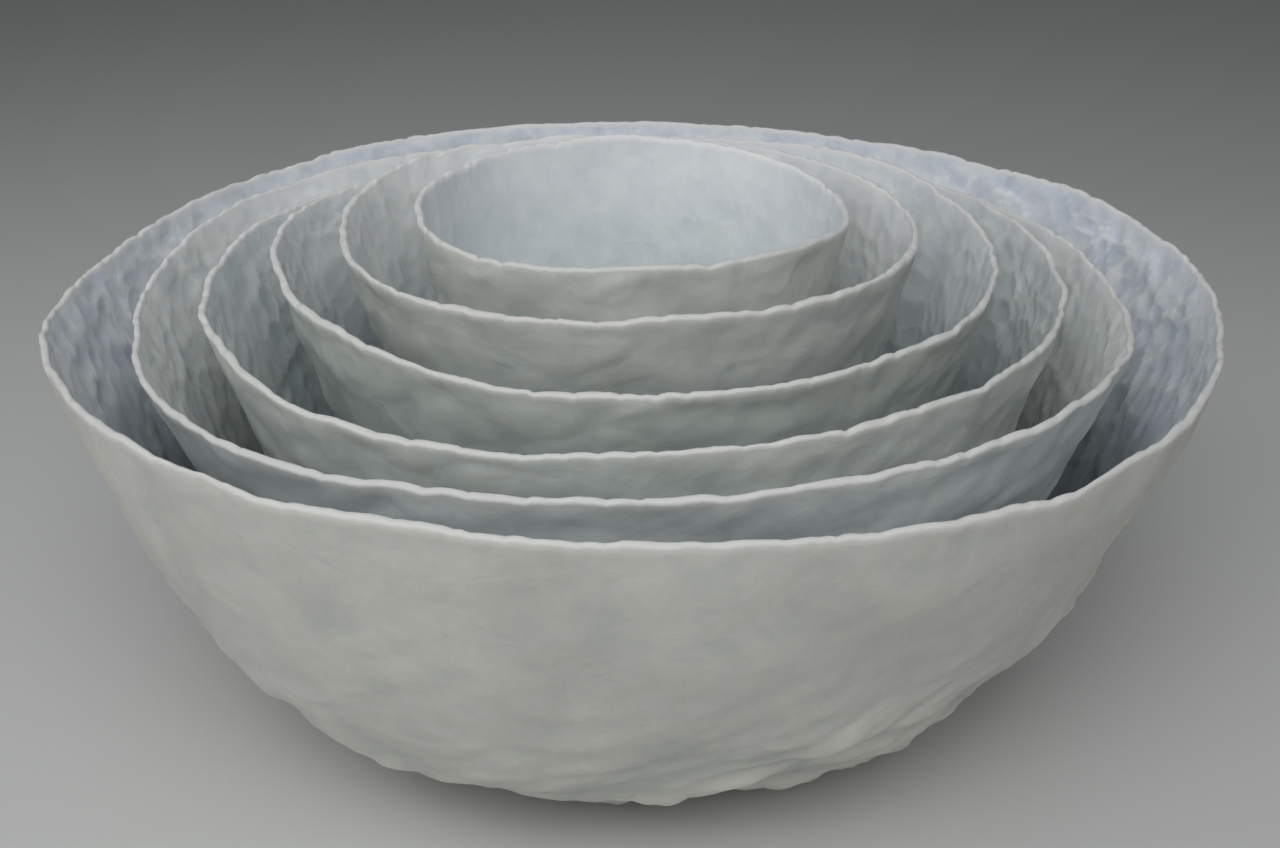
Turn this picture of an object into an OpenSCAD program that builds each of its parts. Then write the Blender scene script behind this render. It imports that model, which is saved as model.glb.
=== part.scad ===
// Nested set of six pinched porcelain bowls.
// Each bowl is one thin shell: a flat round foot, a rounded belly, a wall
// that steepens towards the rim, and a soft rounded lip. Each smaller bowl
// stands on the floor of the next larger one.
// Origin: centre of the outer bowl's foot, on the table. +Z is up.

/* [Outer bowl A] */
// Mean rim radius
a_rim = 200; // [198:0.5:203]
// Height from its foot to its lip
a_height = 146; // [142:0.5:149]
// Radius of the flat foot
a_foot = 84; // [80:0.5:88]
// How far the wall runs out flat before it turns up
a_belly = 12; // [9:0.5:15]
// Lean of the wall at the rim, in degrees from upright
a_lean = 15.5; // [14:0.5:18]
// Length over which the wall keeps that lean
a_reach = 114; // [108:1:118]
// Rim centre off the foot centre, x and y
a_centre = [1.8, 3.3]; // [-4:0.1:4]
// Oval and three-cornered run of the rim: cos 2, sin 2, cos 3, sin 3
a_round = [-4.5, 0.6, 0.4, 1.2]; // [-5:0.1:5]
// Tilt and saddle of the lip's height: cos 1, sin 1, cos 2, sin 2
a_level = [-0.6, -3.6, -1.8, 0.9]; // [-4:0.1:4]
// Finer run of rim and lip: rim cos 4, rim sin 4, lip cos 3, lip sin 3
a_fine = [-1.1, 0.9, 1.2, -0.1]; // [-2:0.1:2]
// Swelling of the foot's edge: all round, then shift cos 1 and sin 1
a_foot_shift = [-0.5, -0.5, 0.5]; // [-3:0.1:3]
// Unevenness of the foot's edge: cos 2, sin 2, cos 3, sin 3
a_foot_round = [0.7, 0.7, 0.7, -1.6]; // [-3:0.1:3]
// Swelling of the lower wall: all round, then shift cos 1 and sin 1
a_low_shift = [0.6, -1.1, 0.3]; // [-3:0.1:3]
// Unevenness of the lower wall: cos 2, sin 2, cos 3, sin 3
a_low_round = [-0.1, 0.9, 1.9, -0.4]; // [-3:0.1:3]
// Swelling of the wall half way up: all round, then shift cos 1 and sin 1
a_mid_shift = [-0.9, -1.3, 0.4]; // [-3:0.1:3]
// Unevenness of the wall half way up: cos 2, sin 2, cos 3, sin 3
a_mid_round = [-0.7, 1.4, 0.1, 0.8]; // [-3:0.1:3]

/* [Second bowl B] */
// Mean rim radius
b_rim = 169.5; // [166:0.5:171]
// Height from its foot to its lip
b_height = 141.5; // [138:0.5:145]
// Radius of the flat foot
b_foot = 72; // [68:0.5:74]
// How far the wall runs out flat before it turns up
b_belly = 40; // [34:0.5:42]
// Lean of the wall at the rim, in degrees from upright
b_lean = 22.5; // [21:0.5:25]
// Length over which the wall keeps that lean
b_reach = 76; // [70:1:80]
// Rim centre off the foot centre, x and y
b_centre = [-1.9, -0.8]; // [-4:0.1:4]
// Oval and three-cornered run of the rim: cos 2, sin 2, cos 3, sin 3
b_round = [-3.1, -0.9, 1.2, -0.3]; // [-5:0.1:5]
// Tilt and saddle of the lip's height: cos 1, sin 1, cos 2, sin 2
b_level = [-0.7, -1.5, -0.3, -1.5]; // [-4:0.1:4]
// Finer run of rim and lip: rim cos 4, rim sin 4, lip cos 3, lip sin 3
b_fine = [-1.8, -0.2, -0.2, 0.4]; // [-2:0.1:2]

/* [Third bowl C] */
// Mean rim radius
c_rim = 145; // [142:0.5:147]
// Height from its foot to its lip
c_height = 140.5; // [137:0.5:144]
// Radius of the flat foot
c_foot = 64; // [60:0.5:66]
// How far the wall runs out flat before it turns up
c_belly = 32; // [26:0.5:34]
// Lean of the wall at the rim, in degrees from upright
c_lean = 18; // [17:0.5:20]
// Length over which the wall keeps that lean
c_reach = 73; // [68:1:78]
// Rim centre off the foot centre, x and y
c_centre = [1.5, -0.8]; // [-4:0.1:4]
// Oval and three-cornered run of the rim: cos 2, sin 2, cos 3, sin 3
c_round = [-0.2, 1.8, -0.1, 0.2]; // [-4:0.1:4]
// Tilt and saddle of the lip's height: cos 1, sin 1, cos 2, sin 2
c_level = [0.3, 0, 1.3, -0.4]; // [-4:0.1:4]
// Finer run of rim and lip: rim cos 4, rim sin 4, lip cos 3, lip sin 3
c_fine = [-0.7, 0.1, -1.2, 0.6]; // [-2:0.1:2]

/* [Fourth bowl D] */
// Mean rim radius
d_rim = 122.5; // [120:0.5:124]
// Height from its foot to its lip
d_height = 145.5; // [142:0.5:149]
// Radius of the flat foot
d_foot = 56; // [53:0.5:58]
// How far the wall runs out flat before it turns up
d_belly = 18; // [14:0.5:21]
// Lean of the wall at the rim, in degrees from upright
d_lean = 18; // [17:0.5:20]
// Length over which the wall keeps that lean
d_reach = 72; // [68:1:76]
// Rim centre off the foot centre, x and y
d_centre = [2.1, -0.6]; // [-4:0.1:4]
// Oval and three-cornered run of the rim: cos 2, sin 2, cos 3, sin 3
d_round = [-1.1, -0.9, -2.4, 1.1]; // [-4:0.1:4]
// Tilt and saddle of the lip's height: cos 1, sin 1, cos 2, sin 2
d_level = [1.1, 1.2, 0.9, 0.5]; // [-4:0.1:4]
// Finer run of rim and lip: rim cos 4, rim sin 4, lip cos 3, lip sin 3
d_fine = [0, -0.9, -1.3, 0.3]; // [-2:0.1:2]

/* [Fifth bowl E] */
// Mean rim radius
e_rim = 98.5; // [96:0.5:100]
// Height from its foot to its lip
e_height = 150.5; // [147:0.5:154]
// Radius of the flat foot
e_foot = 47; // [44:0.5:48]
// How far the wall runs out flat before it turns up
e_belly = 8; // [6:0.5:11]
// Lean of the wall at the rim, in degrees from upright
e_lean = 16.5; // [15:0.5:18]
// Length over which the wall keeps that lean
e_reach = 75; // [70:1:80]
// Rim centre off the foot centre, x and y
e_centre = [-2.8, -0.7]; // [-4:0.1:4]
// Oval and three-cornered run of the rim: cos 2, sin 2, cos 3, sin 3
e_round = [-2, -1.5, 1.3, -1.6]; // [-4:0.1:4]
// Tilt and saddle of the lip's height: cos 1, sin 1, cos 2, sin 2
e_level = [-0.3, -0.7, 0.7, -0.6]; // [-4:0.1:4]
// Finer run of rim and lip: rim cos 4, rim sin 4, lip cos 3, lip sin 3
e_fine = [-0.9, -0.4, 0.1, 0.2]; // [-2:0.1:2]

/* [Inner bowl F] */
// Mean rim radius
f_rim = 72.5; // [70:0.5:74]
// Height from its foot to its lip
f_height = 151; // [147:0.5:155]
// Radius of the flat foot
f_foot = 37; // [34:0.5:39]
// How far the wall runs out flat before it turns up
f_belly = 8.5; // [6:0.5:11]
// Lean of the wall at the rim, in degrees from upright
f_lean = 11; // [10:0.5:13]
// Length over which the wall keeps that lean
f_reach = 75; // [70:1:80]
// Rim centre off the foot centre, x and y
f_centre = [-0.7, -0.2]; // [-4:0.1:4]
// Oval and three-cornered run of the rim: cos 2, sin 2, cos 3, sin 3
f_round = [-0.2, -0.3, 0.1, -0.8]; // [-4:0.1:4]
// Tilt and saddle of the lip's height: cos 1, sin 1, cos 2, sin 2
f_level = [-0.2, -0.4, -1.1, -0.8]; // [-4:0.1:4]
// Finer run of rim and lip: rim cos 4, rim sin 4, lip cos 3, lip sin 3
f_fine = [0, -0.3, -0.5, 0.3]; // [-2:0.1:2]

/* [Shell] */
// Thickness of every bowl's floor
floor_thick = 5; // [4.5:0.1:5.5]
// Thickness of every wall at the lip
lip_thick = 2.4; // [2:0.1:3]
// Share of the wall over which it thins from floor to lip thickness
thin_over = 0.55; // [0.4:0.05:0.8]
// Depth of the finger dents round the outer bowl's belly
dent_depth = 0.8; // [0:0.1:1]
// How many finger dents go round the outer bowl's belly
dents = 13; // [9:1:17]

/* [Resolution] */
// Steps up each wall
wall_steps = 7; // [6:1:10]
// Steps round the outer bowl
ring_steps = 84; // [72:4:100]

/* [Hidden] */

// Share of the height that the dents cover, from the foot up
dent_top = 0.6;
// Phase by which the dents slant over the full height, in degrees
dent_slant = 140;

// Heights [from, to] over which the outer bowl's swellings blend
foot_fade = [10, 45];
low_start = [5, 35];
low_to_mid = [50, 85];
mid_fade = [95, 130];

// Height of a foot above the table, with this many floors below it
function seat(floors) = floors * floor_thick;

// Cubic curve through four control points p, and its direction, at t from 0 to 1
function curve(p, t) = pow(1 - t, 3) * p[0] + 3 * pow(1 - t, 2) * t * p[1]
    + 3 * (1 - t) * t * t * p[2] + pow(t, 3) * p[3];
function slope(p, t) = pow(1 - t, 2) * (p[1] - p[0]) + 2 * (1 - t) * t * (p[2] - p[1])
    + t * t * (p[3] - p[2]);
function along(p, t) = slope(p, t) / norm(slope(p, t));
function inward(p, t) = let (dir = along(p, t)) [-dir[1], dir[0]];

function wall_thick(t) = floor_thick + (lip_thick - floor_thick) * min(1, t / thin_over);

// Half section [radius, z] of a bowl: foot edge, up to the lip, down to the inner floor edge
function section(rim, height, foot, belly, lean, reach) =
    let (lip_radius = lip_thick / 2,
         top = height - lip_radius,
         p = [[foot, 0], [foot + belly, 0],
              [rim - reach * tan(lean), top - reach], [rim, top]],
         outside = [for (i = [0:wall_steps]) curve(p, i / wall_steps)],
         lip = [for (a = [45, 90, 135])
             p[3] + lip_radius * (inward(p, 1) * (1 - cos(a)) + along(p, 1) * sin(a))],
         inside = [for (i = [wall_steps:-1:0]) let (t = i / wall_steps)
             curve(p, t) + wall_thick(t) * inward(p, t)])
    concat(outside, lip, inside);

// Cosine and sine of each multiple of angle a, to be weighted by a list of amounts
function waves(first, last, a) = [for (k = [first:last]) each [cos(k * a), sin(k * a)]];

// Smooth step from 0 to 1 as z crosses the band [from, to]
function ease(z, band) =
    let (t = max(0, min(1, (z - band[0]) / (band[1] - band[0])))) t * t * (3 - 2 * t);

// Swelling of a wall: at its foot (outside only), low down, and half way up.
// Each entry of body holds: all round, then cos and sin 1, 2 and 3.
function swelling(body, z, a, outer) =
    let (foot_share = outer ? 1 - ease(z, foot_fade) : 0,
         low_share = ease(z, low_start) * (1 - ease(z, low_to_mid)),
         mid_share = ease(z, low_to_mid) * (1 - ease(z, mid_fade)))
    (foot_share * body[0] + low_share * body[1] + mid_share * body[2])
        * concat([1], waves(1, 3, a));

// Dent pattern from -1 to 1, at a share of the bowl's height
function dent_wave(share, a) =
    sin(180 * min(1, share / dent_top)) * cos(dents * a + dent_slant * share);

// One pinched bowl. The inner floor stays flat, and the uneven run of
// the rim and lip grows with height to its full size at the rim.
module pinched_bowl(rim, height, foot, belly, lean, reach,
        centre, rounding, level, fine, steps, dent = 0, body = []) {
    profile = section(rim, height, foot, belly, lean, reach);
    count = len(profile);
    rim_run = concat(rounding, [fine[0], fine[1]]);
    lip_rise = concat(level, [fine[2], fine[3]]);

    points = [for (j = [0:steps - 1]) let (a = 360 * j / steps)
        for (i = [0:count - 1]) let (
            z = profile[i][1],
            outer = i <= wall_steps,
            grow = max(0, (z - floor_thick) / (height - floor_thick)),
            radius = profile[i][0]
                + grow * (rim_run * waves(2, 4, a))
                + (outer ? dent * dent_wave(z / height, a) : 0)
                + (len(body) > 0 ? swelling(body, z, a, outer) : 0))
        [radius * cos(a) + grow * centre[0],
         radius * sin(a) + grow * centre[1],
         z + grow * grow * (lip_rise * waves(1, 3, a))]];

    skin = [for (j = [0:steps - 1])
        let (here = j * count, next = (j + 1) % steps * count)
        for (i = [0:count - 2]) each [
            [here + i, here + i + 1, next + i + 1],
            [here + i, next + i + 1, next + i]]];
    foot_face = [for (j = [0:steps - 1]) j * count];
    floor_face = [for (j = [steps - 1:-1:0]) j * count + count - 1];

    polyhedron(points = points, faces = concat(skin, [foot_face, floor_face]), convexity = 6);
}

module bowl_a() {
    color([0.80, 0.80, 0.77])
        pinched_bowl(a_rim, a_height, a_foot, a_belly, a_lean, a_reach,
            a_centre, a_round, a_level, a_fine, ring_steps, dent = dent_depth,
            body = [concat(a_foot_shift, a_foot_round),
                    concat(a_low_shift, a_low_round),
                    concat(a_mid_shift, a_mid_round)]);
}

// The smaller bowls take fewer steps round
module bowl_b() {
    color([0.79, 0.80, 0.78]) translate([0, 0, seat(1)])
        pinched_bowl(b_rim, b_height, b_foot, b_belly, b_lean, b_reach,
            b_centre, b_round, b_level, b_fine, ring_steps - 8);
}

module bowl_c() {
    color([0.78, 0.80, 0.78]) translate([0, 0, seat(2)])
        pinched_bowl(c_rim, c_height, c_foot, c_belly, c_lean, c_reach,
            c_centre, c_round, c_level, c_fine, ring_steps - 16);
}

module bowl_d() {
    color([0.78, 0.79, 0.78]) translate([0, 0, seat(3)])
        pinched_bowl(d_rim, d_height, d_foot, d_belly, d_lean, d_reach,
            d_centre, d_round, d_level, d_fine, ring_steps - 24);
}

module bowl_e() {
    color([0.78, 0.79, 0.79]) translate([0, 0, seat(4)])
        pinched_bowl(e_rim, e_height, e_foot, e_belly, e_lean, e_reach,
            e_centre, e_round, e_level, e_fine, ring_steps - 28);
}

module bowl_f() {
    color([0.79, 0.79, 0.80]) translate([0, 0, seat(5)])
        pinched_bowl(f_rim, f_height, f_foot, f_belly, f_lean, f_reach,
            f_centre, f_round, f_level, f_fine, ring_steps - 32);
}

bowl_a();
bowl_b();
bowl_c();
bowl_d();
bowl_e();
bowl_f();
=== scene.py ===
# Six thin, hand-made porcelain bowls nested one inside the next. They stand round the z axis,
# and the camera looks from the front, -Y. Bowls are worked out in mm and built in metres.
import math

import bpy
import numpy as np
from mathutils import Matrix, Vector


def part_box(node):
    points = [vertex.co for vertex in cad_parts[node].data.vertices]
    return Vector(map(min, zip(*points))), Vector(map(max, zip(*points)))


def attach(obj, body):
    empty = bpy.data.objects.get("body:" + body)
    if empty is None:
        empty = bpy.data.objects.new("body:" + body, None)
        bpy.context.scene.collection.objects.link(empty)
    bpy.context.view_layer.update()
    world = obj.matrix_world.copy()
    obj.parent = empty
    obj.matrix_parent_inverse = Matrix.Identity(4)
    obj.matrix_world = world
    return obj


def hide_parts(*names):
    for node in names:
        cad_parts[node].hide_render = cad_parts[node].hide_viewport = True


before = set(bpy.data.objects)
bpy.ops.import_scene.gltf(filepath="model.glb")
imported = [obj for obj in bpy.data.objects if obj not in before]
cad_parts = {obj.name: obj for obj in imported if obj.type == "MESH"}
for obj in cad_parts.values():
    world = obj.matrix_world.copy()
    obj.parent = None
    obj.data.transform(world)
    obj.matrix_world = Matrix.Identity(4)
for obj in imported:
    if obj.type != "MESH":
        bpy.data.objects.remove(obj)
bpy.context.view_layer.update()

MM = 0.001
FLOOR_THICK = 5.0
LIP_THICK = 2.4
THIN_OVER = 0.55          # share of the wall curve over which the floor's thickness thins to the lip's
REST_GAP = 0.05           # a floor lies this far under the next foot, so no two faces share a plane
OUTER = "a"               # the outermost bowl, with the roughest outside

# Lengths in mm, angles in degrees:
#   rim, foot    radii                        height   of the lip above the foot
#   belly        run of the wall curve's lower handle beyond the foot
#   lean, reach  of its upper handle: slope away from upright, and drop below the lip
#   centre       x, y shift of the rim
#   outline      rim radius, cosine and sine for 2, 3 and 4 waves a turn
#   lift         rim height, cosine and sine for 1, 2 and 3 waves a turn
#   columns      vertices round the bowl      rows     of vertices outside and inside
#   mark         width, height and strength of the finger marks inside
#   knocks       soft swellings of the rim: direction, out, up, width
BOWLS = {
    "a": dict(body="outer_bowl", rim=200, height=146, foot=84, belly=12, lean=15.5, reach=114,
              centre=(1.8, 3.3), outline=(-4.5, 0.6, 0.4, 1.2, -1.1, 0.9),
              lift=(-0.6, -3.6, -1.8, 0.9, 1.2, -0.1),
              columns=560, rows=(90, 61), mark=(12.5, 10.0, 1.15),
              knocks=[(191, 2.7, 0.1, 62), (221, -0.5, 0.6, 30), (241, 0.4, -0.7, 30),
                      (284, -0.3, 0.6, 30), (305, 0.5, -0.8, 28), (340, -0.6, 0.0, 30),
                      (32, 0.6, 0.9, 30)]),
    "b": dict(body="second_bowl", rim=169.5, height=141.5, foot=72, belly=40, lean=22.5, reach=76,
              centre=(-1.9, -0.8), outline=(-3.1, -0.9, 1.2, -0.3, -1.8, -0.2),
              lift=(-0.7, -1.5, -0.3, -1.5, -0.2, 0.4),
              columns=600, rows=(58, 76), mark=(12.5, 7.5, 0.7),
              knocks=[(250, -0.4, 0.7, 26), (280, 0.3, -0.7, 20), (308, -0.5, 0.7, 18),
                      (320, -0.6, 0.6, 12), (338, 0.9, -0.2, 18), (355, -0.6, -0.4, 14),
                      (152, 0.3, 0.6, 12), (168, -0.4, -0.5, 14)]),
    "c": dict(body="third_bowl", rim=145, height=140.5, foot=64, belly=32, lean=18, reach=73,
              centre=(1.5, -0.8), outline=(-0.2, 1.8, -0.1, 0.2, -0.7, 0.1),
              lift=(0.3, 0, 1.3, -0.4, -1.2, 0.6),
              columns=560, rows=(60, 86), mark=(12.0, 7.5, 0.68),
              knocks=[(0, -0.7, -0.4, 10), (18, 0.3, 0.4, 14), (196, 0.9, 0.0, 18),
                      (220, -0.4, 0.4, 14), (256, 0.4, -0.9, 14), (278, -0.3, 0.6, 14),
                      (304, -0.3, 0.4, 10), (314, 0.7, -0.8, 12)]),
    "d": dict(body="fourth_bowl", rim=122.5, height=145.5, foot=56, belly=18, lean=18, reach=72,
              centre=(2.1, -0.6), outline=(-1.1, -0.9, -2.4, 1.1, 0, -0.9),
              lift=(1.1, 1.2, 0.9, 0.5, -1.3, 0.3),
              columns=520, rows=(64, 96), mark=(11.5, 7.5, 0.62),
              knocks=[(24, -0.6, -0.8, 10), (200, 0.5, -0.3, 16), (222, -0.4, 0.5, 14),
                      (250, 0.3, -0.5, 12), (292, 0.3, -0.6, 12), (306, -0.3, 0.5, 12),
                      (328, 0.6, -0.5, 12)]),
    "e": dict(body="fifth_bowl", rim=98.5, height=150.5, foot=47, belly=8, lean=16.5, reach=75,
              centre=(-2.8, -0.7), outline=(-2, -1.5, 1.3, -1.6, -0.9, -0.4),
              lift=(-0.3, -0.7, 0.7, -0.6, 0.1, 0.2),
              columns=460, rows=(74, 84), mark=(11.0, 8.0, 0.5),
              knocks=[(116, -0.3, -0.9, 16), (140, 0.2, 0.6, 10), (164, -0.5, -0.5, 12),
                      (258, -0.3, 0.6, 10), (292, 0.2, -0.4, 14), (328, -0.3, 0.3, 14)]),
    "f": dict(body="inner_bowl", rim=72.5, height=151, foot=37, belly=8.5, lean=11, reach=75,
              centre=(-0.7, -0.2), outline=(-0.2, -0.3, 0.1, -0.8, 0, -0.3),
              lift=(-0.2, -0.4, -1.1, -0.8, -0.5, 0.3),
              columns=400, rows=(84, 110), mark=(10.0, 9.5, 0.32),
              knocks=[(16, -0.5, -0.5, 10), (92, 0.2, 0.6, 24), (146, -0.4, -0.8, 14),
                      (190, -0.6, 0.1, 12), (262, 0.1, -0.4, 24), (290, 0.2, -0.6, 14),
                      (324, -0.3, 0.5, 14)]),
}

# The outer bowl's radius: a constant, then cosine and sine for 1, 2 and 3 waves a turn
FOOT_WAVE = (-0.5, -0.5, 0.5, 0.7, 0.7, 0.7, -1.6)
LOW_WAVE = (0.6, -1.1, 0.3, -0.1, 0.9, 1.9, -0.4)
MIDDLE_WAVE = (-0.9, -1.3, 0.4, -0.7, 1.4, 0.1, 0.8)
# Swellings and dents of its wall: direction, height up the wall, out, width, tallness
DENTS = [(200, 112, -1.4, 60, 16), (320, 42, -3.0, 20, 11), (318, 64, 1.3, 26, 12),
         (300, 24, 1.6, 22, 9), (286, 20, -1.6, 20, 9), (214, 48, -1.6, 26, 14),
         (235, 30, 1.2, 24, 10)]
DRIP = dict(direction=-94.5, radius=88, out=5.0, width=7.0, z=4.0, tall=9.0)

# Layers of the rim's hand-cut lines: pitch in mm, seed offset, amplitude in mm
RIM_OUT = ((34, 1, 0.35), (13, 2, 0.5), (6, 7, 0.42), (3.6, 10, 0.16))
RIM_UP = ((26, 3, 0.35), (11, 4, 0.5), (6, 8, 0.26))
LIP_THICKER = ((19, 5, 0.45), (7, 6, 0.3))
LIP_CHIPS = ((8, 9, 0.9),)
BEADS = ((11, 41, 1.0), (6, 42, 0.5))
SIDE_BEADS = ((9, 43, 1.0),)

# Rings of the underside and of the floor, as shares of the foot's radius
FOOT_RINGS = np.array([0.12, 0.3, 0.5, 0.7, 0.86, 0.96])
FLOOR_RINGS = np.array([0.97, 0.9, 0.8, 0.68, 0.55, 0.42, 0.3, 0.2, 0.11])


# ---------------------------------------------------------------- noise
def hashed(i, j, seed):
    """A repeatable number from 0 to 1 for each whole-number pair."""
    mask = np.uint64(0xFFFFFFFF)
    n = (np.asarray(i).astype(np.int64).astype(np.uint64) * np.uint64(374761393)
         + np.asarray(j).astype(np.int64).astype(np.uint64) * np.uint64(668265263)
         + np.uint64(seed * 362437 + 12345)) & mask
    n = ((n ^ (n >> np.uint64(13))) * np.uint64(1274126177)) & mask
    n = ((n ^ (n >> np.uint64(16))) * np.uint64(2246822519)) & mask
    n = n ^ (n >> np.uint64(15))
    return (n & mask).astype(float) / 4294967296.0


def smooth(x, low, high):
    t = np.clip((x - low) / (high - low), 0, 1)
    return t * t * (3 - 2 * t)


def gradient_noise(across, down, period, seed):
    """Noise of about -1 to 1 that repeats every period across."""
    i, j = np.floor(across).astype(int), np.floor(down).astype(int)
    x, y = across - i, down - j

    def corner(di, dj):
        turn = 2 * np.pi * hashed((i + di) % period, j + dj + 4096, seed)
        return np.cos(turn) * (x - di) + np.sin(turn) * (y - dj)

    ease_x = x**3 * (x * (6 * x - 15) + 10)
    ease_y = y**3 * (y * (6 * y - 15) + 10)
    low = corner(0, 0) * (1 - ease_x) + corner(1, 0) * ease_x
    high = corner(0, 1) * (1 - ease_x) + corner(1, 1) * ease_x
    return (low * (1 - ease_y) + high * ease_y) * 1.5


def cell_noise(across, down, period, seed, jitter):
    """Distances to the nearest two of a scatter of points, and the nearest one's own number."""
    i, j = np.floor(across).astype(int), np.floor(down).astype(int)
    first = np.full(across.shape, 9.0)
    second = np.full(across.shape, 9.0)
    number = np.zeros(across.shape)
    for di in (-1, 0, 1):
        for dj in (-1, 0, 1):
            column, row = (i + di) % period, j + dj + 4096
            x = i + di + 0.5 + jitter * (hashed(column, row, seed) - 0.5)
            y = j + dj + 0.5 + jitter * (hashed(column, row, seed + 7) - 0.5)
            gap = np.hypot(across - x, down - y)
            closer = gap < first
            second = np.where(closer, first, np.minimum(second, gap))
            number = np.where(closer, hashed(column, row, seed + 13), number)
            first = np.where(closer, gap, first)
    return first, second, number


class Face:
    """One face of a wall, with noise sized in mm round the rim (width) and down it (height).

    slant slides the pattern round per mm down; shift and drop bend it, in pattern units.
    """

    def __init__(self, angle, below, rim_length, seed):
        self.angle, self.below = np.meshgrid(angle, below, indexing="xy")
        self.rim_length, self.seed = rim_length, seed

    def layout(self, width, height, slant, shift, drop):
        count = max(6, int(round(self.rim_length / width)))
        across = self.angle / (2 * np.pi) * count + slant * self.below + shift
        return across, self.below / height + drop, count

    def waves(self, seed, width, height, slant=0, shift=0, times=1):
        across, down, count = self.layout(width, height, slant, shift, 0)
        return gradient_noise(across * times, down, count * times, self.seed + seed)

    def cells(self, seed, width, height, slant, shift, drop, jitter=0.95):
        return cell_noise(*self.layout(width, height, slant, shift, drop),
                          self.seed + seed, jitter)

    def plates(self, edge, dome, **cells):
        """Low domed patches at uneven levels, blended over edge where they meet."""
        first, second, number = self.cells(**cells)
        return (number - 0.5) * smooth(second - first, 0, edge) + dome * (0.45 - first)


def scallops(angle, length, pitch, seed, amplitude):
    """A closed run of shallow rounded beads with sharp nicks between them, 0 at the crests."""
    n = max(8, int(round(length / pitch)))
    k = np.arange(n)
    starts = np.sort((k + 0.75 * (hashed(k, 0, seed) - 0.5)) / n)
    starts = np.concatenate([starts, [starts[0] + 1]])
    x = (angle / (2 * np.pi) - starts[0]) % 1.0 + starts[0]
    i = np.clip(np.searchsorted(starts, x, side="right") - 1, 0, n - 1)
    along = (x - starts[i]) / (starts[i + 1] - starts[i])
    depth = hashed(i, 3, seed) ** 1.5
    return -amplitude * depth * np.abs(2 * along - 1) ** 2.2


def cut_line(angle, length, pitch, seed, amplitude):
    """A closed line of nearly straight runs about pitch mm long that meet at soft corners."""
    n = max(8, int(round(length / pitch)))
    k = np.arange(n)
    places = (k + 0.7 * (hashed(k, 0, seed) - 0.5)) / n
    values = (hashed(k, 1, seed) - 0.5) * 2 * amplitude
    x = (angle / (2 * np.pi)) % 1.0
    soft = 0.25 / n
    line = np.zeros_like(x)
    for weight, offset in ((0.4, 0.0), (0.3, soft), (0.3, -soft)):
        line += weight * np.interp((x + offset) % 1.0,
                                   np.concatenate([places - 1, places, places + 1]),
                                   np.tile(values, 3))
    return line


def harmonics(pairs, angle, first, start=0.0):
    """Start plus cosine and sine terms for first, first + 1, ... waves a turn."""
    total = start
    for k in range(0, len(pairs), 2):
        waves = (first + k // 2) * angle
        total = total + pairs[k] * np.cos(waves) + pairs[k + 1] * np.sin(waves)
    return total


def arc_gap(angle, direction, radius):
    """Distance round the bowl from a direction in degrees."""
    return ((np.degrees(angle) - direction + 180) % 360 - 180) * math.pi / 180 * radius


# ---------------------------------------------------------------- shape
class Wall:
    """The outside of the wall as a Bezier curve of radius and z, from the foot to the lip."""

    def __init__(self, bowl):
        top = bowl["height"] - LIP_THICK / 2
        lean = math.tan(math.radians(bowl["lean"]))
        self.handles = np.array([[bowl["foot"], 0], [bowl["foot"] + bowl["belly"], 0],
                                 [bowl["rim"] - bowl["reach"] * lean, top - bowl["reach"]],
                                 [bowl["rim"], top]], float)
        self.steps = np.linspace(0, 1, 2001)
        points, _ = self.at(self.steps)
        lengths = np.linalg.norm(np.diff(points, axis=0), axis=1)
        self.arc = np.concatenate([[0], np.cumsum(lengths)])
        self.length = self.arc[-1]

    def at(self, t):
        """Points and unit directions along the curve."""
        t = np.asarray(t, float)[:, None]
        p = self.handles
        points = ((1 - t)**3 * p[0] + 3 * (1 - t)**2 * t * p[1]
                  + 3 * (1 - t) * t * t * p[2] + t**3 * p[3])
        ways = ((1 - t)**2 * (p[1] - p[0]) + 2 * (1 - t) * t * (p[2] - p[1])
                + t * t * (p[3] - p[2]))
        return points, ways / np.linalg.norm(ways, axis=1)[:, None]

    def heights(self, count, even=0.45, power=1.9):
        """Arc lengths from the lip down to the foot, finer near the lip."""
        x = np.linspace(0, 1, count)
        return self.length - self.length * (even * x + (1 - even) * x ** power)

    def step(self, arc):
        return np.interp(arc, self.arc, self.steps)


def rim_lines(bowl, angle, seed):
    """The rim's offsets out and up, the lip's thickness, and how far its outer corner is nipped."""
    length = 2 * np.pi * bowl["rim"]

    def layered(line, table):
        return sum(line(angle, length, pitch, seed + offset, amplitude)
                   for pitch, offset, amplitude in table)

    beads = layered(scallops, BEADS)
    up = layered(cut_line, RIM_UP) + beads
    out = layered(cut_line, RIM_OUT) + 0.35 * beads + 0.2 * layered(scallops, SIDE_BEADS)
    for direction, knock_out, knock_up, width in bowl["knocks"]:
        swell = np.exp(-(arc_gap(angle, direction, bowl["rim"]) / (width * 0.6)) ** 2)
        out, up = out + knock_out * swell, up + knock_up * swell
    thick = LIP_THICK + 0.1 + layered(cut_line, LIP_THICKER)
    chip = np.maximum(0, layered(cut_line, LIP_CHIPS) - 0.15)
    return out, up, thick, chip


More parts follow.
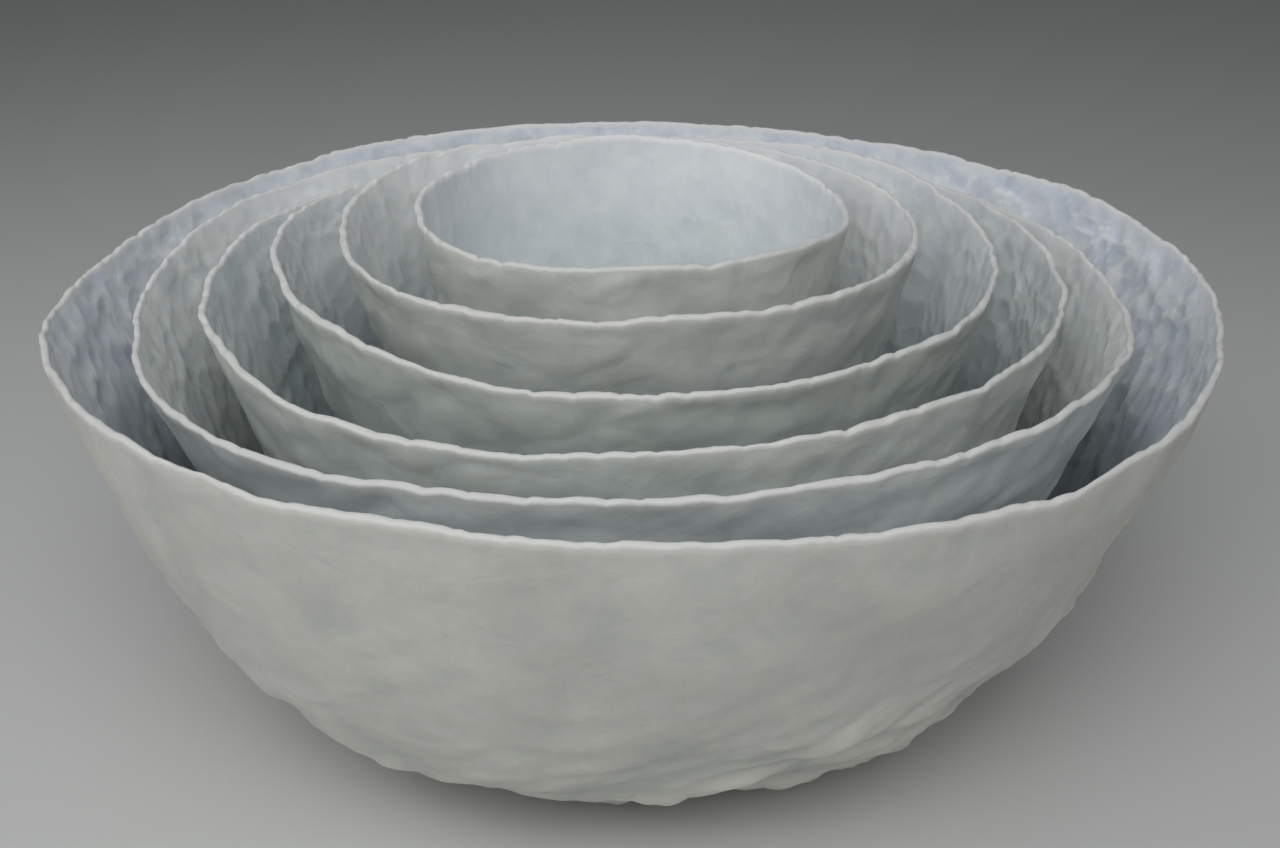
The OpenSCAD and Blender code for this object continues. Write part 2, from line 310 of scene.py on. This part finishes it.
def outer_swell(face, length, broad, middle, small):
    """The outer bowl's outside: large overlapping plates, strongest low down at 325 degrees."""
    below = face.below
    low = (smooth(below, 0.28 * length, 0.62 * length)
           * (1 - 0.6 * smooth(below, 0.78 * length, 0.96 * length)))
    side = (0.5 + 0.5 * np.cos(face.angle - math.radians(325))) ** 4
    low = low * (0.42 + 0.85 * side)
    bend = 0.45 * face.waves(seed=26, width=44, height=30)
    slab = face.plates(seed=27, width=44, height=25, slant=0.55 / 14, shift=bend,
                       drop=0.9 * bend, edge=0.30, dome=0.8)
    scab = face.plates(seed=28, width=27, height=18, slant=0.8 / 14, shift=bend,
                       drop=0.7 * bend, edge=0.34, dome=0.7)
    stroke = face.plates(seed=29, width=13, height=11, slant=0.9 / 13, shift=1.5 * bend,
                         drop=bend, edge=0.45, dome=0.5, jitter=0.9)
    swell = (0.32 * broad + (0.22 + 0.3 * low) * middle
             + (0.25 + 3.2 * low) * slab + (0.18 + 2.7 * low) * scab)
    swell += (0.10 + 0.4 * low) * small + (0.06 + 1.5 * low * side) * stroke
    swell -= swell.mean(axis=1, keepdims=True)
    return swell * (0.15 + 0.85 * smooth(1 - below / length, 0.0, 0.15))


def plain_swell(face, length, broad, middle, small):
    """The other bowls' outside: small plates that fade out towards the foot."""
    bend = 0.5 * face.waves(seed=26, width=46, height=32)
    scab = face.plates(seed=28, width=19, height=14, slant=0.3 / 15, shift=bend,
                       drop=0.7 * bend, edge=0.3, dome=0.6)
    swell = 0.26 * broad + 0.55 * middle + 0.80 * scab + 0.42 * small
    return swell * smooth(1 - face.below / length, 0.10, 0.32)


def outside_face(key, face, length, chip):
    """Offset out of the wall in mm, a relief mask for painted shade in the dents and painted light on
    the swellings, and tone of the outside.
    """
    below = face.below
    warp = 0.5 * face.waves(seed=21, width=46, height=60)
    broad = face.waves(seed=22, width=46, height=38)
    middle = face.waves(seed=23, width=21, height=17, slant=0.6 / 21, shift=warp)
    small = face.waves(seed=25, width=11, height=12, slant=0.3 / 11)
    number = face.cells(seed=24, width=21, height=24, slant=0.9 / 21, shift=warp,
                        drop=warp, jitter=0.8)[2]
    shape = outer_swell if key == OUTER else plain_swell
    swell = shape(face, length, broad, middle, small) * smooth(below, 0, 6)
    swell -= 0.8 * chip * np.exp(-(below / 2.2) ** 2)
    return swell, np.clip(0.55 * swell, -1, 1), number - 0.5


def inside_face(face, length, mark):
    """Offset, a relief mask for the painted highlight on the ridges, and tone of the inside: shallow
    finger marks with thin ridges between.
    """
    below = face.below
    width, height, strength = mark
    bend = 0.6 * face.waves(seed=31, width=40, height=45)
    ripple = 0.5 * face.waves(seed=32, width=40, height=22, times=2)
    first, second, number = face.cells(seed=33, width=width, height=height, slant=0.35 / width,
                                       shift=bend + ripple, drop=ripple - 0.5 * bend)
    edge = second - first
    ridge = np.exp(-(edge / 0.13) ** 1.3)
    dish = np.minimum(first, 0.75) ** 2 - 0.2
    broad = face.waves(seed=35, width=30, height=24)
    lumps = face.waves(seed=37, width=17, height=12, shift=bend)
    patch = smooth(face.waves(seed=36, width=40, height=36), -0.6, 0.5)
    swell = strength * ((0.45 + 0.55 * patch) * (1.9 * dish + 0.34 * ridge)
                        + 0.22 * (number - 0.5) * smooth(edge, 0, 0.4)
                        + 0.35 * lumps) + 0.4 * broad
    swell *= smooth(below, 1, 9) * (0.12 + 0.88 * smooth(1 - below / length, 0.05, 0.25))
    # relief marks the thin ridges that get a painted highlight
    relief = ridge * (0.25 + 0.75 * patch) * smooth(below, 1, 7) * min(1.0, 1.3 * strength)
    tone = (number - 0.5) * 2 * smooth(edge, 0.0, 0.35) * min(1.0, 1.25 * strength)
    return swell, relief, tone


def rings(key, bowl, wall, angle, rim_thick, chip):
    """Rings from under the foot, up the outside, over the lip and down to the floor.

    Returns radius, z, inside (0 to 1), relief (a mask for painted shade and highlight), distance below
    the lip, and tone.
    """
    seed = ord(key) * 31
    length, foot = wall.length, bowl["foot"]
    rim_length = 2 * np.pi * bowl["rim"]
    outside_rows, inside_rows = bowl["rows"]

    def block(*fields):
        return np.stack(np.broadcast_arrays(np.zeros((1, len(angle))), *fields)[1:])

    foot_r = foot * FOOT_RINGS[:, None]
    under = block(foot_r, 0, 0, 0, length + foot - foot_r, 0)

    spacing = dict(even=0.85, power=2) if key == OUTER else {}
    arc = wall.heights(outside_rows, **spacing)[::-1]
    points, ways = wall.at(wall.step(arc))
    face = Face(angle, length - arc, rim_length, seed)
    swell, relief, tone = outside_face(key, face, length, chip)
    outside = block(points[:, :1] + ways[:, 1:] * swell, points[:, 1:] - ways[:, :1] * swell,
                    0, relief, face.below, tone)

    # the lip is a flattened half round from the outside (0 degrees) to the inside (180)
    top, along = (values[0] for values in wall.at([1.0]))
    across = np.array([-along[1], along[0]])
    turn = np.radians(np.linspace(0, 180, 11)[1:-1])[:, None]
    flat_cos = np.copysign(np.abs(np.cos(turn)) ** 0.85, np.cos(turn))
    flat_sin = np.sin(turn) ** 0.8
    nip = chip * np.exp(-((turn - 0.5) / 0.7) ** 2)
    lip_r, lip_z = (top[i] + (rim_thick / 2) * across[i] * (1 - flat_cos)
                    + (LIP_THICK / 2) * 0.95 * along[i] * flat_sin
                    + nip * (0.75 * across[i] - 0.35 * along[i]) for i in (0, 1))
    lip = block(lip_r, lip_z, turn / math.pi, 0, 0, 0)

    arc = wall.heights(inside_rows)
    step = wall.step(arc)
    points, ways = wall.at(step)
    face = Face(angle, length - arc, rim_length, seed)
    swell, relief, tone = inside_face(face, length, bowl["mark"])
    thick = FLOOR_THICK + (LIP_THICK - FLOOR_THICK) * np.minimum(1, step / THIN_OVER)
    fade = np.exp(-(length - arc) / 14.0)
    offset = thick[:, None] + (rim_thick - LIP_THICK) * fade[:, None] + swell
    inside = block(points[:, :1] - ways[:, 1:] * offset, points[:, 1:] + ways[:, :1] * offset,
                   1, relief, face.below, tone)

    floor_r = foot * FLOOR_RINGS[:, None]
    floor = block(floor_r, FLOOR_THICK - REST_GAP, 1, 0, length + foot - floor_r, 0)
    return np.concatenate([under, outside, lip, inside, floor], axis=1)


def outer_body(radius, ring_r, ring_z, angle, is_outside, foot):
    """The outer bowl's radius with the waves and dents of its body."""
    near_foot = (1 - smooth(ring_z, 10, 45)) * np.minimum(1, ring_r / foot) ** 2 * is_outside
    above_foot = smooth(ring_z, 5, 35)
    low = above_foot * (1 - smooth(ring_z, 50, 85))
    middle = smooth(ring_z, 50, 85) * (1 - smooth(ring_z, 95, 130))
    for share, wave in ((near_foot, FOOT_WAVE), (low, LOW_WAVE), (middle, MIDDLE_WAVE)):
        radius = radius + share * harmonics(wave[1:], angle, 1, wave[0])
    for direction, z, out, width, tall in DENTS:
        gap = arc_gap(angle, direction, np.maximum(ring_r, 60))
        dent = out * np.exp(-(gap / width) ** 2 - ((ring_z - z) / tall) ** 2)
        radius = radius + dent * (0.4 + 0.6 * is_outside) * above_foot
    return radius


def foot_drip(ring_r, ring_z, angle, is_outside, foot):
    """A small drip of clay where the foot meets the table, at the front."""
    gap = np.abs(arc_gap(angle, DRIP["direction"], DRIP["radius"]))
    drip = (np.exp(-(gap / DRIP["width"]) ** 2)
            * np.exp(-((ring_z - DRIP["z"]) / DRIP["tall"]) ** 2))
    return DRIP["out"] * drip * is_outside * (ring_r > foot * 0.9)


def ring_faces(ring_count, columns):
    """Quads between the rings, then a fan to each of the two centre points after them."""
    j = np.arange(columns)
    k = (j + 1) % columns
    quads = [np.stack([i * columns + j, i * columns + k, (i + 1) * columns + k,
                       (i + 1) * columns + j], 1) for i in range(ring_count - 1)]
    under, floor = ring_count * columns, ring_count * columns + 1
    last = (ring_count - 1) * columns
    fans = [np.stack([np.full(columns, under), k, j], 1),
            np.stack([np.full(columns, floor), last + j, last + k], 1)]
    return np.vstack(quads).tolist() + np.vstack(fans).tolist()


def build_bowl(key):
    bowl = BOWLS[key]
    foot, columns = bowl["foot"], bowl["columns"]
    wall = Wall(bowl)
    turn = 2 * np.pi * np.arange(columns) / columns
    rim_out, rim_up, rim_thick, chip = rim_lines(bowl, turn, ord(key) * 31)
    ring_r, ring_z, inside, relief, below, tone = rings(key, bowl, wall, turn, rim_thick, chip)

    # the uneven outline grows from nothing at the floor; the rim's lines fade down the wall
    angle = np.tile(turn, (len(ring_r), 1))
    rise = np.maximum(0, (ring_z - FLOOR_THICK) / (bowl["height"] - FLOOR_THICK))
    fade = np.exp(-np.maximum(below, 0) / 20.0)
    radius = ring_r + rise * harmonics(bowl["outline"], angle, 2) + rim_out * fade
    z = ring_z + rise * rise * harmonics(bowl["lift"], angle, 1) + rim_up * fade
    if key == OUTER:
        is_outside = inside < 0.5
        radius = outer_body(radius, ring_r, ring_z, angle, is_outside, foot)
        radius = radius + foot_drip(ring_r, ring_z, angle, is_outside, foot)
        z = np.where(is_outside, np.maximum(z, 0.0), z)
    x = radius * np.cos(angle) + rise * bowl["centre"][0]
    y = radius * np.sin(angle) + rise * bowl["centre"][1]
    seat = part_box("bowl_" + key)[0].z / MM
    verts = np.stack([x, y, z + seat], -1).reshape(-1, 3)
    centres = [[0, 0, seat], [0, 0, seat + FLOOR_THICK - REST_GAP]]
    verts = np.vstack([verts, centres]) * MM

    mesh = bpy.data.meshes.new("porcelain_bowl_" + key)
    mesh.from_pydata(verts.tolist(), [], ring_faces(len(ring_r), columns))
    mesh.update()
    centre_below = wall.length + foot
    for name, values, ends in (("inside", inside, (0, 1)), ("relief", relief, (0, 0)),
                               ("below", below, (centre_below, centre_below)),
                               ("tone", tone, (0, 0))):
        data = np.concatenate([values.reshape(-1), ends]).astype(np.float32)
        mesh.attributes.new(name, "FLOAT", "POINT").data.foreach_set("value", data)
    # a coordinate wrapped round the rim, in mm: x, y round the bowl, z along the wall
    wrap = np.stack([bowl["rim"] * np.cos(angle), bowl["rim"] * np.sin(angle),
                     below * np.where(inside > 0.5, 1, -1) + 400 * inside], -1).reshape(-1, 3)
    wrap = np.vstack([wrap, [[0, 0, -400]], [[0, 0, 700]]]).astype(np.float32)
    attribute = mesh.attributes.new("wrap", "FLOAT_VECTOR", "POINT")
    attribute.data.foreach_set("vector", wrap.reshape(-1))
    mesh.polygons.foreach_set("use_smooth", np.ones(len(mesh.polygons), bool))
    return link_object("porcelain_bowl_" + key, mesh)


def link_object(name, data):
    obj = bpy.data.objects.new(name, data)
    bpy.context.scene.collection.objects.link(obj)
    return obj


# ---------------------------------------------------------------- materials
class Nodes:
    """Adds shader nodes; an input may be a value or another node's output."""

    def __init__(self, material):
        material.use_nodes = True
        self.tree = material.node_tree

    def add(self, kind, inputs, **settings):
        node = self.tree.nodes.new(kind)
        for name, value in settings.items():
            setattr(node, name, value)
        for name, value in inputs.items():
            if isinstance(value, bpy.types.NodeSocket):
                self.tree.links.new(value, node.inputs[name])
            else:
                node.inputs[name].default_value = value
        return node

    def place(self):
        return self.add("ShaderNodeTexCoord", {}).outputs["Object"]

    def attribute(self, name, output="Fac"):
        return self.add("ShaderNodeAttribute", {}, attribute_name=name).outputs[output]

    def math(self, operation, a, b):
        return self.add("ShaderNodeMath", {0: a, 1: b}, operation=operation).outputs[0]

    def ramp(self, value, low, high, start=0.0, end=1.0):
        return self.add("ShaderNodeMapRange", {0: value, 1: low, 2: high, 3: start, 4: end},
                        interpolation_type="SMOOTHSTEP").outputs[0]

    def noise(self, vector, scale, detail, rough=0.5, distortion=0.0):
        return self.add("ShaderNodeTexNoise", {
            "Scale": scale, "Detail": detail, "Roughness": rough,
            "Distortion": distortion, "Vector": vector}).outputs["Fac"]

    def mix(self, factor, a, b, blend="MIX"):
        a, b = ((*c, 1) if isinstance(c, tuple) else c for c in (a, b))
        return self.add("ShaderNodeMix", {0: factor, 6: a, 7: b},
                        data_type="RGBA", blend_type=blend).outputs[2]

    def stretch(self, vector, *scales):
        return self.add("ShaderNodeVectorMath", {0: vector, 1: scales},
                        operation="MULTIPLY").outputs[0]

    def tint(self, colour, maps, table):
        """Multiply tints in. Rows: map, its value at no tint, at most tint, most tint, tint."""
        for name, none, most, amount, tint in table:
            factor = self.ramp(maps[name], none, most, 0.0, amount)
            colour = self.mix(factor, colour, self.mix(1.0, colour, tint, "MULTIPLY"))
        return colour


# outside and inside colours (the insides lighter and bluer than the outsides of the same clay, as
# painted light), lip colour (lighter, a painted glow), clearness of the finger marks, shade painted at
# depth
COLOURS = {
    "a": dict(outside=(0.615, 0.62, 0.58), inside=(0.92, 0.955, 1.0),
              lip=(0.70, 0.70, 0.67), marks=1.15, depth=0.42),
    "b": dict(outside=(0.68, 0.71, 0.69), inside=(0.965, 0.99, 0.965),
              lip=(0.70, 0.70, 0.675), marks=0.65, depth=0.56),
    "c": dict(outside=(0.603, 0.635, 0.61), inside=(0.925, 0.98, 0.97),
              lip=(0.70, 0.70, 0.67), marks=0.9, depth=0.68),
    "d": dict(outside=(0.53, 0.56, 0.53), inside=(0.945, 0.99, 0.99),
              lip=(0.70, 0.70, 0.67), marks=0.8, depth=0.64),
    "e": dict(outside=(0.555, 0.58, 0.55), inside=(0.965, 0.995, 0.985),
              lip=(0.70, 0.70, 0.67), marks=0.45, depth=0.84),
    "f": dict(outside=(0.63, 0.65, 0.61), inside=(0.80, 0.83, 0.835),
              lip=(0.69, 0.695, 0.665), marks=0.38, depth=0.97),
}
# painted light: the lighter colour of the far rims
FAR_LIP_PAINTED_LIGHT = (0.91, 0.905, 0.89)
DARK, LIGHT = (0.82, 0.845, 0.88), (1.10, 1.09, 1.06)

# Rows as in Nodes.tint: those under the specks, then those over them
OUTSIDE_MOTTLING = (
    ("blotch", 0.52, 0.72, 0.6, (1.09, 1.08, 1.05)),
    ("blotch", 0.48, 0.3, 0.6, (0.88, 0.90, 0.91)),
    ("mottle", 0.48, 0.3, 0.6, (0.94, 0.945, 0.945)),
    ("mottle", 0.5, 0.78, 0.5, (1.05, 1.035, 1.0)),
)
# Scratches and tone are the clay's own; the relief rows are painted shade in the dents and painted
# light on the swellings
OUTSIDE_SCRATCHES_AND_PAINTED_SHADE = (
    ("scratch", 0.66, 0.74, 0.35, (0.93, 0.925, 0.91)),
    ("relief", 0.0, -0.8, 1.0, (0.86, 0.875, 0.875)),
    ("relief", 0.0, 0.8, 1.0, (1.07, 1.065, 1.05)),
    ("tone", 0.0, -0.5, 0.35, (0.95, 0.955, 0.955)),
)


def inside_tints(marks):
    return (
        ("cloud", 0.56, 0.4, 0.55, (0.93, 0.935, 0.98)),
        ("mottle", 0.62, 0.36, 0.55 * marks, DARK),
        ("tone", -0.1, -0.9, 0.55, DARK),
        ("tone", 0.1, 0.9, 0.5, (1.03, 1.035, 1.055)),
        ("streak", 0.5, 0.72, 0.28 * marks, LIGHT),
        ("streak", 0.48, 0.30, 0.28 * marks, DARK),
        # painted highlight: the ridges between the finger marks are painted lighter
        ("relief", 0.12, 0.85, 0.9 * marks, (1.25, 1.23, 1.19)),
        ("blotch", 0.50, 0.68, 0.6, (1.07, 1.065, 1.05)),
        ("blotch", 0.50, 0.32, 0.6, (0.90, 0.915, 0.925)),
    )


def scaled(colour, amount):
    return tuple(c * amount for c in colour)


def surface_maps(nodes, place):
    """Textures and mesh attributes that colour and roughen the clay."""
    wrap = nodes.attribute("wrap", "Vector")
    specks = nodes.add("ShaderNodeTexVoronoi", {"Scale": 55, "Randomness": 1, "Vector": place},
                       feature="F1")
    return dict(
        relief=nodes.attribute("relief"),
        tone=nodes.attribute("tone"),
        cloud=nodes.noise(place, scale=26, detail=4, rough=0.55),
        blotch=nodes.noise(place, scale=55, detail=5, rough=0.62, distortion=0.4),
        mottle=nodes.noise(place, scale=95, detail=4, rough=0.6, distortion=0.6),
        grain=nodes.noise(place, scale=1400, detail=2, rough=0.6),
        streak=nodes.noise(nodes.stretch(wrap, 0.12, 0.12, 0.075), scale=1.0, detail=3,
                           distortion=1.2),
        hair=nodes.noise(nodes.stretch(wrap, 0.3, 0.3, 0.16), scale=1.0, detail=2,
                         distortion=0.6),
        scratch=nodes.noise(nodes.stretch(wrap, 0.05, 0.05, 0.9), scale=1.0, detail=2,
                            distortion=0.8),
        speck=nodes.ramp(specks.outputs["Distance"], 0.035, 0.075, 1.0, 0.0))


def clay_colour(nodes, maps, place, is_inside, colours):
    below = nodes.attribute("below")
    outside, inside, lip = colours["outside"], colours["inside"], colours["lip"]

    outer = nodes.mix(nodes.ramp(maps["cloud"], 0.36, 0.64),
                      scaled(outside, 0.92), scaled(outside, 1.01))
    outer = nodes.tint(outer, maps, OUTSIDE_MOTTLING)
    outer = nodes.mix(nodes.math("MULTIPLY", maps["speck"], 0.3), outer, scaled(outside, 0.72))
    # scratches and tone, then painted shade in the dents and painted light on the swellings
    outer = nodes.tint(outer, maps, OUTSIDE_SCRATCHES_AND_PAINTED_SHADE)
    # painted glow: the outside lightens towards the lip colour in a band just under the rim
    painted_rim_glow = nodes.ramp(below, 0.3, 3.2, 1.0, 0.0)
    outer = nodes.mix(nodes.math("MULTIPLY", painted_rim_glow, 0.45), outer,
                      (lip[0], lip[1] * 0.985, lip[2] * 0.96))

    # painted shade: the inside darkens from 14 mm to 88 mm below the lip, by each bowl's depth factor
    painted_deep_shade_colour = tuple(c * colours["depth"] * k for c, k in zip(inside, (0.94, 1.0, 0.985)))
    inner = nodes.mix(nodes.ramp(below, 14.0, 88.0), inside, painted_deep_shade_colour)
    inner = nodes.tint(inner, maps, inside_tints(colours["marks"]))

    # painted light: the far rims are painted lighter than the near ones, standing for light through
    # the clay, and the lip is painted lighter than the outside as a glow
    y = nodes.add("ShaderNodeSeparateXYZ", {0: place}).outputs[1]
    painted_lip_glow = nodes.mix(nodes.ramp(y, -0.07, 0.05), lip, FAR_LIP_PAINTED_LIGHT)
    on_lip = nodes.ramp(below, 0.0, 1.6, 1.0, 0.0)
    body = nodes.mix(is_inside, outer, inner)
    return nodes.mix(nodes.math("MULTIPLY", on_lip, 0.9), body, painted_lip_glow)


def clay_bump(nodes, maps, is_inside):
    """Fine relief of the clay, its height in mm."""
    def part(name, amount, only_inside=False):
        value = nodes.math("MULTIPLY", maps[name], is_inside) if only_inside else maps[name]
        return nodes.math("MULTIPLY", value, amount)

    height = nodes.math("ADD", part("mottle", 0.34), part("blotch", 0.7))
    height = nodes.math("ADD", height, part("streak", 0.08, only_inside=True))
    height = nodes.math("ADD", height, part("hair", 0.02, only_inside=True))
    height = nodes.math("ADD", height, part("grain", 0.010))
    height = nodes.math("SUBTRACT", height, part("speck", 0.05))
    return nodes.add("ShaderNodeBump", {"Strength": 0.85, "Distance": MM,
                                        "Height": height}).outputs[0]


def porcelain(key):
    """Satin unglazed porcelain, mottled, streaked and specked."""
    material = bpy.data.materials.new("porcelain_" + key)
    nodes = Nodes(material)
    nodes.tree.nodes.clear()
    place = nodes.place()
    maps = surface_maps(nodes, place)
    is_inside = nodes.ramp(nodes.attribute("inside"), 0.35, 0.75)
    roughness = nodes.math("ADD", nodes.ramp(maps["mottle"], 0.3, 0.75, 0.54, 0.66),
                           nodes.math("MULTIPLY", is_inside, -0.06))
    shader = nodes.add("ShaderNodeBsdfPrincipled", {
        "Base Color": clay_colour(nodes, maps, place, is_inside, COLOURS[key]),
        "Roughness": roughness,
        "IOR": 1.47,
        "Specular IOR Level": 0.36,
        "Subsurface Weight": 0.35,
        "Subsurface Radius": (1.0, 0.92, 0.8),
        "Subsurface Scale": 0.004,
        "Normal": clay_bump(nodes, maps, is_inside)})
    nodes.add("ShaderNodeOutputMaterial", {0: shader.outputs[0]})
    return material


def paper():
    """Matt, faintly uneven grey paper."""
    material = bpy.data.materials.new("stage_paper")
    nodes = Nodes(material)
    cloud = nodes.noise(nodes.place(), scale=3.0, detail=2.0)
    colour = nodes.mix(cloud, (0.61, 0.615, 0.60), (0.635, 0.64, 0.625))
    shader = nodes.tree.nodes["Principled BSDF"]
    nodes.tree.links.new(colour, shader.inputs["Base Color"])
    shader.inputs["Roughness"].default_value = 0.9
    shader.inputs["Specular IOR Level"].default_value = 0.1
    return material


for key in BOWLS:
    piece = build_bowl(key)
    piece.data.materials.append(porcelain(key))
    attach(piece, BOWLS[key]["body"])
    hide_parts("bowl_" + key)


# ---------------------------------------------------------------- stage, in metres
def stage_floor(half=9.0):
    mesh = bpy.data.meshes.new("stage_floor")
    corners = [(-half, -half, 0), (half, -half, 0), (half, half, 0), (-half, half, 0)]
    mesh.from_pydata(corners, [], [(0, 1, 2, 3)])
    obj = link_object("stage_floor", mesh)
    mesh.materials.append(paper())


def area_light(name, place, target, size, power, colour, spread):
    data = bpy.data.lights.new(name, "AREA")
    data.shape = "RECTANGLE"
    data.size, data.size_y = size
    data.energy = power
    data.color = colour
    data.spread = math.radians(spread)
    obj = link_object(name, data)
    obj.location = place
    obj.visible_camera = False
    aim = Vector(target) - Vector(place)
    obj.rotation_euler = aim.to_track_quat("-Z", "Y").to_euler()


# name, place, target, size, power in W, colour, spread in degrees
COOL = (0.98, 0.985, 1.0)
SIDE = (0.97, 0.98, 1.0)
LIGHTS = [
    ("front_low", (-0.15, -1.35, 1.15), (-0.05, -0.2, 0.0), (1.4, 0.7), 1.17, COOL, 70),
    ("front_high", (-0.1, -0.95, 1.25), (-0.05, -0.2, 0.0), (1.3, 0.7), 1.8, COOL, 84),
    ("overhead", (-0.05, -0.05, 1.1), (-0.05, -0.05, 0.0), (1.2, 1.2), 0.45,
     (0.95, 0.97, 1.0), 90),
    ("side_left", (-1.25, -0.1, 0.75), (0.0, 0.0, 0.08), (0.9, 0.9), 0.72, SIDE, 80),
    ("side_right", (1.25, -0.3, 0.8), (0.0, 0.0, 0.08), (0.9, 0.9), 0.34, SIDE, 80),
    ("fill_front", (-0.8, -1.7, 0.5), (0.0, 0.0, 0.05), (1.1, 0.5), 1.1,
     (1.0, 0.985, 0.95), 90),
]

stage_floor()
for light in LIGHTS:
    area_light(*light)

scene = bpy.context.scene
world = bpy.data.worlds.new("studio")
world.use_nodes = True
background = world.node_tree.nodes["Background"]
background.inputs["Color"].default_value = (0.80, 0.83, 0.86, 1)
background.inputs["Strength"].default_value = 0.12
scene.world = world
scene.view_settings.view_transform = "Standard"
scene.view_settings.look = "None"


def camera():
    """In front of and above the bowls, looking back and down at them."""
    data = bpy.data.cameras.new("camera")
    data.sensor_fit = "HORIZONTAL"
    data.sensor_width = 36.0
    data.lens = 56.25
    data.clip_start = 0.01
    obj = link_object("camera", data)
    forward = Vector((0.00326734, 0.91040698, -0.41370092)).normalized()
    right = Vector((0.99998746, -0.00454428, -0.00210258)).normalized()
    up = right.cross(forward).normalized()
    right = forward.cross(up).normalized()
    matrix = Matrix((right, up, -forward)).transposed().to_4x4()
    matrix.translation = Vector((0.0, -0.63990658, 0.38404864))
    obj.matrix_world = matrix
    scene.camera = obj


camera()
